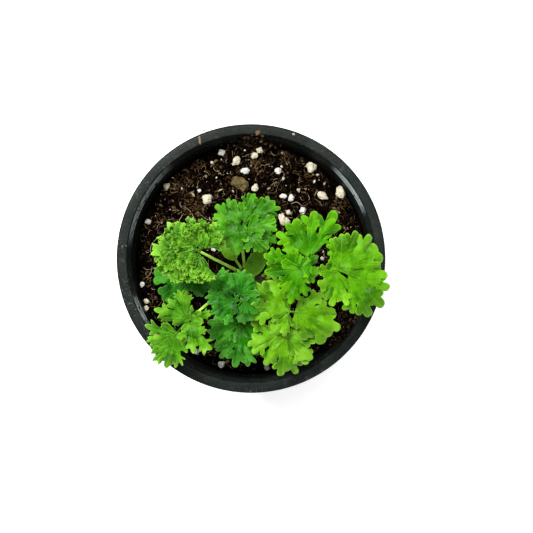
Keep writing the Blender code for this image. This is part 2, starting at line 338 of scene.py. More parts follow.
potSet = {
    "steps": 192,
    # each face's material: its name, its plain, worn and scratched tones, and how glossy it is
    "outside": ("potPlastic", (0.003, 0.006, 0.0045), (0.007, 0.0108, 0.009), (0.02, 0.027, 0.023), 0.075),
    # the inside tones are darker than the outside's, as painted shade
    "inside": ("potInnerWallShade", (0.002, 0.0035, 0.003), (0.005, 0.007, 0.006), (0.012, 0.016, 0.014), 0.12),
    "dust": (0.075, 0.078, 0.068),
    "grit": (0.35, 0.35, 0.31),
    "rimRound": 0.8 * mm,
    "wall": 1.2 * mm,
    "wallPoints": 5,  # up each face, between the heel and the rim
    "rimWidth": 4.0 * mm,
    "skirtDepth": 9.0 * mm,
    "neckRadius": 47.9 * mm,
    "baseRadius": 37.0 * mm,
    "heelRound": 1.4 * mm,
    "innerRound": 2.0 * mm,  # where the wall meets the bottom
    "beads": [2.0 * mm, 3.4 * mm, 6.0 * mm],  # fine steps down the inside, below the rim
    "beadWidth": 0.3 * mm,
    "beadSlope": 0.25 * mm,
    "beadGlints": [(152, 24), (35, 15), (205, 9)],  # where painted glints lie on them: bearing and half width in degrees
    # the pale colour of the painted glints
    "glintTone": (0.5, 0.56, 0.58),
    "slots": 4,  # a quarter turn apart
    "slotInner": 31 * mm,
    "slotWidth": 9 * mm,
    "slotHeight": 3.5 * mm,
}


def roundCorner(centre, radius, start, end, count=6):
    turns = [math.radians(start + (end - start) * i / (count - 1)) for i in range(count)]
    return [(centre[0] + radius * math.cos(t), centre[1] + radius * math.sin(t)) for t in turns]


def potWall(height):
    # the outer radius at a height, below the skirt
    foot = rimTop - potSet["skirtDepth"]
    share = (height - 1 * mm) / (foot - 1 * mm)
    return potSet["baseRadius"] + (potSet["neckRadius"] - potSet["baseRadius"]) * share


def potProfile():
    # from the middle of the underside, out and up, over the rim, and down the inside
    top = rimTop
    rim = rimRadius
    wall = potSet["wall"]
    foot = top - potSet["skirtDepth"]
    r = potSet["rimRound"]
    heel = potSet["heelRound"]
    bend = potSet["innerRound"]
    radius = rim - potSet["rimWidth"]
    heights = [top * k / (potSet["wallPoints"] + 1) for k in range(1, potSet["wallPoints"] + 1)]
    points = [(0, 0), (20 * mm, 0)]
    points += roundCorner((potSet["baseRadius"] - heel, heel), heel, -90, 0)
    points += [(potWall(height), height) for height in heights]
    points += [(potWall(top - wall), top - wall), (rim - wall, top - wall)]
    # the skirt's lower edge is a little rounded
    points += [(rim - wall - 0.4 * mm, foot), (rim - 0.6 * mm, foot - 0.05 * mm)]
    points += [(rim - 0.35 * mm, foot + 0.3 * mm)]
    points += roundCorner((rim - r, top - r), r, 0, 90)
    points += roundCorner((radius + r / 2, top - r / 2), r / 2, 90, 180)
    for depth in potSet["beads"]:
        points.append((radius, top - depth))
        radius -= potSet["beadWidth"]
        points.append((radius, top - depth - potSet["beadSlope"]))
    points += [(potWall(height) - wall, height) for height in reversed(heights)]
    points += roundCorner((potWall(3 * mm) - wall - bend, wall + bend), bend, 0, -90)
    points += [(15 * mm, wall), (0, wall)]
    return points


def potMaterial(name, plain, worn, scratch, specular, beads=()):
    plastic = Nodes(name)
    place = plastic.place()
    cloud = plastic.noise(90, 4, place=place)
    # noise for dust patches, roughness and bumps, which also breaks up the painted glints
    scuffAndGlintNoise = plastic.noise(420, 5, 0.7, place=place)
    # fine scratches run round the pot: noise that hardly changes along the turn
    x, y, z = plastic.add("SeparateXYZ", {"Vector": place}).outputs
    radius = plastic.math("SQRT", plastic.plus(plastic.times(x, x), plastic.times(y, y)))
    turn = plastic.math("ARCTAN2", y, x)
    around = plastic.add("CombineXYZ", {"X": plastic.times(turn, 0.004), "Y": radius, "Z": z})
    lines = plastic.noise(2600, 2, place=around.outputs[0])
    mottle = plastic.noise(2600, 3, 0.7, place=place)
    specks = plastic.noise(1300, 2, 0.6, place=place)
    patches = plastic.noise(38, 2, place=place)
    colour = plastic.mix(plastic.ramp(cloud, 0.35, 0.7), plain, worn)
    colour = plastic.mix(plastic.ramp(lines, 0.5, 0.75, 0, 0.35), colour, scratch)
    dusty = plastic.times(plastic.ramp(scuffAndGlintNoise, 0.52, 0.75), plastic.ramp(cloud, 0.4, 0.65))
    colour = plastic.mix(plastic.times(dusty, 0.6), colour, potSet["dust"])
    colour = plastic.mix(plastic.ramp(mottle, 0.5, 0.72, 0, 0.45), colour, potSet["dust"])
    grit = plastic.times(plastic.ramp(specks, 0.62, 0.7), plastic.ramp(patches, 0.5, 0.62))
    grit = plastic.times(grit, plastic.ramp(z, rimTop - 6 * mm, rimTop - 1 * mm, 0.1, 1))
    colour = plastic.mix(plastic.times(grit, 0.8), colour, potSet["grit"])
    # painted glints: thin pale lines along each fine step inside, at the bearings listed, broken where the
    # noise is low
    for depth in beads:
        off = plastic.math("ABSOLUTE", plastic.math("SUBTRACT", z, rimTop - depth - 0.12 * mm))
        line = plastic.times(plastic.ramp(off, 0.04 * mm, 0.13 * mm, 1, 0), plastic.ramp(scuffAndGlintNoise, 0.34, 0.5))
        for bearing, wide in potSet["beadGlints"]:
            apart = plastic.math("COSINE", plastic.math("SUBTRACT", turn, math.radians(bearing)))
            edge, core = (math.cos(math.radians(half)) for half in (wide, wide / 3))
            glint = plastic.times(line, plastic.ramp(apart, edge, core, 0, 0.9))
            colour = plastic.mix(glint, colour, potSet["glintTone"])
    plastic.shade(Base_Color=colour, Roughness=plastic.ramp(scuffAndGlintNoise, 0.3, 0.7, 0.36, 0.52),
                  Specular_IOR_Level=specular)
    plastic.bump(plastic.plus(plastic.times(lines, 0.6), scuffAndGlintNoise), 0.35, 0.12 * mm)
    return plastic.material


def makeSlotCutter(turn):
    bm = bmesh.new()
    bmesh.ops.create_cube(bm, size=1)
    length = 2 * (potSet["baseRadius"] - potSet["slotInner"])
    bmesh.ops.scale(bm, vec=(length, potSet["slotWidth"], 2 * potSet["slotHeight"]), verts=bm.verts)
    bmesh.ops.translate(bm, vec=(potSet["slotInner"] + length / 2, 0, 0), verts=bm.verts)
    bmesh.ops.rotate(bm, matrix=Matrix.Rotation(turn, 3, "Z"), verts=bm.verts)
    return addMeshObject("slotCutter", bm)


def makePot():
    bm = bmesh.new()
    rings = []
    for radius, height in potProfile():
        if radius == 0:
            rings.append([bm.verts.new((0, 0, height))] * potSet["steps"])
            continue
        turns = ringTurns(potSet["steps"])
        rings.append([bm.verts.new((radius * math.cos(t), radius * math.sin(t), height)) for t in turns])
    addSkin(bm, rings)
    bmesh.ops.recalc_face_normals(bm, faces=bm.faces)
    inner = rimRadius - potSet["rimWidth"]
    # every face nearer the axis than the rim's inner edge, above the underside, takes the darker second
    # material: painted shade
    for face in bm.faces:
        middle = face.calc_center_median()
        face.material_index = int(middle.xy.length < inner + 0.1 * mm and middle.z > potSet["wall"] / 2)
    skins = [potMaterial(*potSet["outside"]), potMaterial(*potSet["inside"], potSet["beads"])]
    pot = makePiece("nurseryPot", bm, skins, ["pot"])
    cutters = [makeSlotCutter(math.pi / 2 * i) for i in range(potSet["slots"])]
    for cutter in cutters:
        cut = pot.modifiers.new("drainSlot", "BOOLEAN")
        cut.operation = "DIFFERENCE"
        cut.object = cutter
    bpy.context.view_layer.update()
    solid = bpy.data.meshes.new_from_object(pot.evaluated_get(bpy.context.evaluated_depsgraph_get()))
    pot.modifiers.clear()
    pot.data = solid
    solid.set_sharp_from_angle(angle=math.radians(32))
    for cutter in cutters:
        bpy.data.objects.remove(cutter)


makePot()
print("pot turned")


# potting soil: a rough bed, crumbs, curly fibres, flakes and perlite

soilSet = {
    "seed": 21,
    "rings": 120,
    "turns": 520,
    "footGap": 2.9 * mm,  # from the pot's outer face to the soil, low down
    "bedTones": [(0.0004, 0.0003, 0.0003), (0.0035, 0.002, 0.0012), (0.045, 0.028, 0.014)],
    "dirtTone": (0.01, 0.006, 0.004),
    "bumps": [(9.0, 0.6), (3.4, 0.65), (1.5, 0.45), (0.7, 0.2)],  # size and height in mm
    "troughWidth": 5.5,  # mm, along the wall
    "troughDepth": 2.2,  # mm
    # soil pushed up against the wall: x, y, reach and height in mm, then the bearing and spread of its crumbs
    "heaps": [(-1.0, 43.5, 9.0, 3.0, 91, 5.5), (35.5, -26.5, 8.0, 2.4, -37, 6.5)],
    "heapCrumbs": 420,
    "heapSizes": (0.4, 1.5),  # mm
    "heapShares": [30, 30, 25, 14, 1, 0],  # of the crumb tones
    "heapRadii": (42.5, 47.2),  # mm
    "crumbs": 2600,
    "crumbSizes": (0.3, 1.5),  # mm
    "crumbTones": [(0.0015, 0.001, 0.0008), (0.007, 0.0045, 0.003), (0.028, 0.016, 0.008),
                   (0.09, 0.055, 0.028), (0.26, 0.18, 0.10), (0.5, 0.46, 0.36)],
    "crumbShares": [54, 24, 12, 6, 3, 1.5],
    # each kind of fibre: lengths and radii in mm, how far it winds, and how high it arches in mm
    "fibre": ((1.0, 3.8), (0.05, 0.12), 4.0, (0.0, 0.7)),
    "root": ((4, 9), (0.06, 0.11), 1.6, (0.2, 0.9)),
    "tuftFibre": ((0.7, 2.4), (0.045, 0.11), 3.0, (0.2, 1.3)),
    "fibres": 2500,
    "roots": 26,
    "flakes": 210,
    "flakeSize": [(1.0, 2.8), (0.3, 0.8), (0.15, 0.3)],  # mm
    "fibreTones": [(0.018, 0.01, 0.004), (0.07, 0.041, 0.018), (0.17, 0.108, 0.048), (0.44, 0.34, 0.2)],
    "fibreShares": [34, 32, 23, 11],
    "tufts": [  # brown fibrous clumps: x, y and reach in mm, and how many fibres
        (-30.5, 30.5, 6, 105), (-21.6, 35.9, 4.5, 60), (2.6, 36.3, 3, 60), (-22.5, 19.7, 5.5, 120),
        (35.4, 22.4, 3.5, 40), (-37.4, 13.5, 3, 22), (-7.5, 31, 4, 40), (13.5, 41.5, 3.4, 60),
        (22, 33, 3.5, 30), (-39.5, -8, 3, 18), (36.5, -26, 4.5, 110)],
    "tuftTones": [(0.045, 0.022, 0.007), (0.105, 0.054, 0.018), (0.18, 0.1, 0.037), (0.32, 0.21, 0.1)],
    "rootTones": [(0.42, 0.31, 0.17), (0.55, 0.46, 0.30)],
    "looseRoots": [  # each arches through three points, x, y and height over the soil in mm; then its radius
        (((-35.0, 9.5, 1.0), (-43.0, 4.5, 5.0), (-37.0, -1.0, 1.0)), 0.09),
        (((-42.5, -3.6, 0.5), (-40.5, -5.2, 1.6), (-38.0, -3.5, 0.8)), 0.08)],
    "litterOnRim": [  # x, y, length and width in mm, bearing of its length, tone
        (-19.7, 45.6, 3.2, 0.9, 95, (0.26, 0.17, 0.09)), (2.7, 48.4, 2.2, 1.8, 30, (0.16, 0.09, 0.04)),
        (4.4, 47.6, 1.6, 1.2, 100, (0.08, 0.045, 0.02)), (-18.2, 49.4, 1.3, 1.0, 20, (0.5, 0.5, 0.44)),
        (-36.6, -29.6, 2.4, 1.3, 130, (0.30, 0.21, 0.12)), (0.6, 47.9, 1.4, 1.1, 60, (0.05, 0.03, 0.015)),
        (16.5, 48.0, 1.0, 0.8, 0, (0.42, 0.42, 0.38))],
    "rimLitterHeight": 0.6 * mm,
}
soilLow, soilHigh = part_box("soil")
soilTop = soilHigh.z - 0.4 * mm
soilRadius = soilHigh.x


def soilHeight(x, y):
    lift = sum(tall * wobble((x / mm, y / mm, 3.0), size, size) for size, tall in soilSet["bumps"])
    # the soil has shrunk away from the wall, more in some places than in others
    edge = (soilRadius - math.hypot(x, y)) / mm / soilSet["troughWidth"]
    dip = 1 + 0.9 * wobble((x / mm, y / mm, 8.0), 17.0)
    if edge < 1:
        lift -= soilSet["troughDepth"] * dip * (1 - max(0.0, edge)) ** 1.6
    for heapX, heapY, reach, tall, *_ in soilSet["heaps"]:
        lift += tall * math.exp(-((x / mm - heapX) ** 2 + (y / mm - heapY) ** 2) / (reach / 2) ** 2)
    return soilTop + lift * mm


def soilMaterial():
    peat = Nodes("pottingSoil")
    place = peat.place()
    coarse = peat.noise(420, 6, 0.7, place=place)
    fine = peat.noise(1900, 4, 0.7, place=place)
    dark, brown, dusty = soilSet["bedTones"]
    colour = peat.mix(peat.ramp(coarse, 0.42, 0.62), dark, brown)
    colour = peat.mix(peat.ramp(fine, 0.62, 0.78, 0, 0.6), colour, dusty)
    peat.shade(Base_Color=colour, Roughness=0.95, Specular_IOR_Level=0.0)
    peat.bump(peat.plus(coarse, peat.times(fine, 0.4)), 0.9, 0.6 * mm)
    return peat.material


def litterMaterial(name, roughness, speckle):
    # crumbs and fibres carry their own tone
    litter = Nodes(name)
    grain = litter.noise(speckle, 3, 0.6)
    dirt = litter.mix(litter.ramp(grain, 0.4, 0.75, 0.05, 0.7), litter.tone(), soilSet["dirtTone"])
    litter.shade(Base_Color=dirt, Roughness=roughness, Specular_IOR_Level=0.02)
    litter.bump(grain, 0.6, 0.2 * mm)
    return litter.material


def makeSoil():
    bm = startMesh()
    rings = []
    for k in range(soilSet["rings"]):
        radius = soilRadius * (k + 0.5) / soilSet["rings"]
        flat = [(radius * math.cos(t), radius * math.sin(t)) for t in ringTurns(soilSet["turns"])]
        rings.append([bm.verts.new((x, y, soilHeight(x, y))) for x, y in flat])
    edge = [(vert.co.x / vert.co.xy.length, vert.co.y / vert.co.xy.length) for vert in rings[-1]]
    bottom = soilLow.z
    lowRadius = potWall(3 * mm) - soilSet["footGap"]
    for share in (0.96, 0.6, 0.3, 0.0):
        low = bottom + (soilTop - bottom) * share
        radius = lowRadius + (soilRadius - lowRadius) * share
        rings.append([bm.verts.new((x * radius, y * radius, low)) for x, y in edge])
    for inside, outside in zip(rings, rings[1:]):
        for i in range(soilSet["turns"]):
            j = (i + 1) % soilSet["turns"]
            bm.faces.new((inside[i], outside[i], outside[j], inside[j]))
    bm.faces.new(rings[0])
    bm.faces.new(list(reversed(rings[-1])))
    makePiece("soilBed", bm, [soilMaterial()], ["soil"])


def addLump(bm, place, size, shade, rng, roughness, subdivisions=1, turn=None, tip=0.5):
    # an angular crumb or grain: a ball pushed in and out, squashed and turned
    layer = bm.verts.layers.float_color["shade"]
    made = bmesh.ops.create_icosphere(bm, subdivisions=subdivisions, radius=0.5)["verts"]
    turn = rng.uniform(0, 6.3) if turn is None else turn
    spin = Matrix.Rotation(turn, 3, "Z") @ Matrix.Rotation(rng.uniform(-tip, tip), 3, "X")
    seed = rng.uniform(0, 99)
    for vert in made:
        push = 1 + roughness * wobble(vert.co, 0.42, seed) + 0.3 * roughness * wobble(vert.co, 0.16, seed)
        vert.co = place + spin @ Vector([c * s * push for c, s in zip(vert.co, size)])
        vert[layer] = (*shade, 1)


def randomSpot(rng, reach):
    # crumbs and fibres lie thicker in some places than in others
    while True:
        spot = polar(rng.uniform(0, 2 * math.pi), reach * math.sqrt(rng.random()))
        if wobble((spot.x / mm, spot.y / mm, 5.0), 6.0) > rng.uniform(-0.75, 0.35):
            return spot


def addFibre(bm, rng, kind, tone, spot=None):
    lengths, radii, bend, arch = soilSet[kind]
    spot = spot or randomSpot(rng, soilRadius - 1.5 * mm)
    bearing = rng.uniform(0, 2 * math.pi)
    length = rng.uniform(*lengths) * mm
    curve = rng.uniform(-bend, bend)
    thick = rng.uniform(*radii) * mm
    tall = rng.uniform(*arch) * mm
    count = 8
    points = []
    for i in range(count):
        t = i / (count - 1)
        bearing += curve / count + rng.uniform(-0.3, 0.3)
        spot = spot + polar(bearing, length / count)
        if spot.length < soilRadius - 1 * mm:
            rise = 0.25 * mm + tall * math.sin(math.pi * t)
            points.append(Vector((spot.x, spot.y, soilHeight(spot.x, spot.y) + rise)))
    if len(points) > 3:
        taper = [thick * (1 - 0.5 * i / len(points)) for i in range(len(points))]
        addTube(bm, points, taper, 5, (*tone, 1))


def addCrumbs(bm, rng):
    low, high = soilSet["crumbSizes"]
    for _ in range(soilSet["crumbs"]):
        spot = randomSpot(rng, soilRadius - 1 * mm)
        size = (low + (high - low) * rng.random() ** 2.5) * mm  # most are small
        tone = rng.choices(soilSet["crumbTones"], soilSet["crumbShares"])[0]
        spot.z = soilHeight(spot.x, spot.y) + 0.2 * size
        addLump(bm, spot, (size * rng.uniform(0.8, 1.9), size, size * rng.uniform(0.5, 0.9)), tone, rng, 0.6)


def addRimLitter(bm, rng):
    for x, y, length, width, turn, tone in soilSet["litterOnRim"]:
        lies = rimTop + 0.1 * mm
        if math.hypot(x, y) * mm < rimRadius - potSet["rimWidth"]:
            lies -= 1.0 * mm  # on the fine steps inside the rim
        place = Vector((x * mm, y * mm, lies))
        size = (length * mm, width * mm, soilSet["rimLitterHeight"])
        addLump(bm, place, size, tone, rng, 0.5, 3, math.radians(turn), 0.1)


def addHeapCrumbs(bm, rng):
    # crumbs that cling to the wall behind the heaps, higher in the middle of each
    near, far = soilSet["heapRadii"]
    for *_, middle, spread in soilSet["heaps"]:
        for _ in range(soilSet["heapCrumbs"]):
            bearing = rng.gauss(middle, spread)
            out = rng.random()
            spot = polar(math.radians(bearing), (near + (far - near) * out) * mm)
            climb = out ** 1.3 * math.exp(-((bearing - middle) / (1.7 * spread)) ** 2)
            spot.z = soilTop + (rimTop - 1.6 * mm - soilTop) * climb + rng.uniform(-0.6, 0.2) * mm
            size = rng.uniform(*soilSet["heapSizes"]) * mm
            tone = rng.choices(soilSet["crumbTones"], soilSet["heapShares"])[0]
            addLump(bm, spot, (size * rng.uniform(0.8, 1.6), size, size * 0.7), tone, rng, 0.6)


def addFibres(bm, rng):
    for _ in range(soilSet["fibres"]):
        addFibre(bm, rng, "fibre", rng.choices(soilSet["fibreTones"], soilSet["fibreShares"])[0])
    for _ in range(soilSet["roots"]):
        addFibre(bm, rng, "root", rng.choice(soilSet["rootTones"]))
    for x, y, reach, count in soilSet["tufts"]:
        for _ in range(count):
            off = polar(rng.uniform(0, 2 * math.pi), reach * mm * rng.random() ** 0.6)
            spot = Vector((x, y, 0)) * mm + off
            addFibre(bm, rng, "tuftFibre", rng.choice(soilSet["tuftTones"]), spot)
    for ends, thick in soilSet["looseRoots"]:
        arch = [Vector((x, y, 0)) * mm + up * (soilTop + z * mm) for x, y, z in ends]
        points = bezier(*arch, 16)
        addTube(bm, points, [thick * mm] * len(points), 6, (*soilSet["rootTones"][0], 1))


def addFlakes(bm, rng):
    for _ in range(soilSet["flakes"]):
        spot = randomSpot(rng, soilRadius - 2 * mm)
        spot.z = soilHeight(spot.x, spot.y) + 0.35 * mm
        size = [rng.uniform(*limits) * mm for limits in soilSet["flakeSize"]]
        tone = rng.choices(soilSet["fibreTones"], soilSet["fibreShares"])[0]
        addLump(bm, spot, size, tone, rng, 0.5, 2)


def makeLitter():
    rng = random.Random(soilSet["seed"])
    bm = startMesh()
    addCrumbs(bm, rng)
    addRimLitter(bm, rng)
    addHeapCrumbs(bm, rng)
    makePiece("soilCrumbs", bm, [litterMaterial("soilCrumb", 0.95, 2500)])
    bm = startMesh()
    addFibres(bm, rng)
    makePiece("soilFibres", bm, [litterMaterial("soilFibre", 0.8, 1500)])
    bm = startMesh()
    addFlakes(bm, rng)
    makePiece("soilFlakes", bm, [litterMaterial("soilFlake", 0.85, 1200)])


def perliteMaterial():
    perlite = Nodes("perlite")
    place = perlite.place()
    stain = perlite.noise(800, 4, 0.65, place=place)
    pores = perlite.cells(1500.0, place)
    colour = perlite.mix(perlite.ramp(stain, 0.45, 0.7, 0, 0.6), perlite.tone(), perliteSet["stain"])
    colour = perlite.mix(perlite.ramp(pores, 0.06, 0.3, 0.7, 0), colour, perliteSet["pore"])
    perlite.shade(Base_Color=colour, Roughness=0.85, Specular_IOR_Level=0.2)
    perlite.bump(perlite.plus(pores, stain), 0.8, 0.4 * mm)
    return perlite.material


perliteSet = {
    "seed": 5,
    "smallGrains": [  # those that lie apart: x, y and size in mm
        (-3.1, 45.2, 1.3), (-2.5, 42.6, 0.8), (12, 36.4, 0.9), (18.7, 27.1, 1.6), (12.6, 24.6, 2.3),
        (15.7, 23.8, 2.5), (14.6, 18.2, 2.1), (14.2, 14.6, 2.8), (-43.1, -10.3, 2.3), (-41.4, -16.8, 2.1),
        (-41.6, -19.6, 2.3), (12.7, 31.6, 1.2), (-20.5, 26.9, 1.6), (-27.4, 27.7, 1.0), (-15.6, 38.0, 1.2),
        (38.0, -20.4, 1.5), (24.9, 30.5, 1.1), (-15, 3.9, 2.0), (36, -29, 1.6), (28, 0, 1.6)],
    "flecks": 95,
    "sunk": 0.3,  # share of its height that a grain sits in the soil
    "fill": 0.92,  # its size, of its solid's
    "white": (0.62, 0.61, 0.56),
    "cream": (0.56, 0.52, 0.39),
    "creamGrains": [1, 2, 4, 5, 7, 8, 9, 10, 13, 14],
    "stain": (0.34, 0.29, 0.18),
    "pore": (0.20, 0.16, 0.10),
    "bark": (0.13, 0.095, 0.04),
}


def grainSize(node):
    # where a grain is, the bearing of its length, and its size, from its own solid
    low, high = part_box(node)
    middle = (low + high) / 2
    flat = [(v.co.x - middle.x, v.co.y - middle.y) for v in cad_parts[node].data.vertices]
    best = (0, 0, 0)
    for degrees in range(0, 180, 5):
        axis = polar(math.radians(degrees))
        along = [x * axis.x + y * axis.y for x, y in flat]
        across = [y * axis.x - x * axis.y for x, y in flat]
        length = max(along) - min(along)
        if length > best[1]:
            best = (math.radians(degrees), length, max(across) - min(across))
    return middle, best[0], Vector((best[1], best[2], high.z - low.z))


def makeGrains(rng, stone):
    for name in sorted(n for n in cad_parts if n.startswith("perlite_")):
        place, turn, size = grainSize(name)
        place.z = soilHeight(place.x, place.y) + size.z * (0.5 - perliteSet["sunk"])
        tone = perliteSet["cream" if int(name[-2:]) in perliteSet["creamGrains"] else "white"]
        bm = startMesh()
        addLump(bm, place, size * perliteSet["fill"], tone, rng, 0.42, 4, turn, 0.15)
        makePiece("perliteGrain" + name[-2:], bm, [stone], [name])


def makeFlecks(rng, stone):
    bm = startMesh()
    small = [(x * mm, y * mm, size * mm) for x, y, size in perliteSet["smallGrains"]]
    for _ in range(perliteSet["flecks"]):
        spot = randomSpot(rng, soilRadius - 1 * mm)
        small.append((spot.x, spot.y, (0.3 + 0.6 * rng.random() ** 3) * mm))
    for x, y, size in small:
        place = Vector((x, y, soilHeight(x, y) + 0.25 * size))
        tone = perliteSet[rng.choice(["white", "cream", "white"])]
        addLump(bm, place, (size * rng.uniform(0.9, 1.2), size * 0.85, 0.75 * size), tone, rng, 0.5, 3)
    makePiece("perliteFlecks", bm, [stone])


def makeBark(rng):
    place, turn, size = grainSize("bark_chip")
    place.z = soilHeight(place.x, place.y) + 0.7 * mm
    bm = startMesh()
    addLump(bm, place, size, perliteSet["bark"], rng, 0.7, 4, turn, 0.1)
    makePiece("barkChip", bm, [litterMaterial("bark", 0.9, 900)], ["bark_chip"])


makeSoil()
makeLitter()
print("soil laid")

grainRng = random.Random(perliteSet["seed"])
stone = perliteMaterial()
makeGrains(grainRng, stone)
makeFlecks(grainRng, stone)
makeBark(grainRng)
print("perlite and bark scattered")


# the leaves

leafTones = {  # dark, middle and pale greens, how glossy they are, and how much paler the tips are painted, as painted light
    "lime": ((0.016, 0.095, 0.001), (0.070, 0.26, 0.001), (0.21, 0.48, 0.02), 0.06, 0.25),
    "leafy": ((0.009, 0.08, 0.001), (0.038, 0.2, 0.001), (0.15, 0.43, 0.005), 0.06, 0.35),
    "curly": ((0.005, 0.055, 0.001), (0.028, 0.148, 0.001), (0.21, 0.48, 0.035), 0.08, 0.8),
    "spring": ((0.008, 0.066, 0.001), (0.040, 0.18, 0.001), (0.2, 0.46, 0.028), 0.08, 0.4),
    "bright": ((0.030, 0.12, 0.001), (0.090, 0.28, 0.001), (0.24, 0.5, 0.04), 0.08, 0.28),
    "mid": ((0.007, 0.068, 0.001), (0.028, 0.16, 0.001), (0.12, 0.38, 0.02), 0.1, 0.35),
    "blue": ((0.003, 0.052, 0.001), (0.014, 0.145, 0.001), (0.085, 0.34, 0.03), 0.12, 0.4),
    "shaded": ((0.003, 0.047, 0.001), (0.012, 0.125, 0.001), (0.06, 0.28, 0.015), 0.1, 0.3),
    "deep": ((0.004, 0.066, 0.001), (0.017, 0.15, 0.001), (0.105, 0.35, 0.035), 0.09, 0.4),
    "olive": ((0.07, 0.19, 0.008), (0.115, 0.3, 0.013), (0.2, 0.42, 0.04), 0.05, 0.1),
}
leafSet = {
    "rows": 12,  # points along a lobe's neck
    "fan": 56,  # points round a lobe's toothed end
    "across": 7,  # points from a lobe's middle line to its margin
    "thickness": 0.2 * mm,
    "inside": (0.35, 1.0, 0.1),  # how far red, green and blue light go inside the blade
    "neck": 0.7,  # half width at the base, in mm
    "emerge": 0.58,  # how far along its neck a lobe comes out of the web
    "webPast": 16,  # degrees that the web reaches past its outer lobes
    "webRows": 12,
    "ribRadius": 0.3,  # of a leaflet's own stalk, in mm
    "palm": 0.6,  # how far along a lobe its toothed end starts to spread
    "body": 0.7,  # how far the gaps between teeth reach, of that end
    "sideTurn": 24,  # degrees from a leaflet's outer lobes to the short ones beside its base
    "stretch": 1.07,  # of the lobes' lengths below
    "leastHalf": 1.3,  # a lobe's least and most half width, in mm
    "mostHalf": 3.8,
    "underTone": (0.10, 0.26, 0.05),
}
usualLeaf = {
    "lean": 0.1,  # fall per mm going out from the pot
    "droop": 0.9,  # fall in mm at 10 mm from the hub
    "frill": 0.35,  # how much the margins wave
    "bend": 1.5,  # how much the lobes roll, curl and cup
    "crease": 0.85,  # how much they fold along their middle
    "blunt": 2.4,  # how round the teeth are
    "teeth": (3, 3, 4),  # numbers of teeth to choose from, for each lobe
    "fill": 1.0,  # how wide the lobes are
    "web": 0.54,  # how far the lobes are joined, of their lengths
    "bare": 0.45,  # share of a long leaflet's own stalk that has no blade
    "step": 0,  # mm that each leaflet lies under the one before it
    "curls": 0,  # small lobes that stand up on it
}
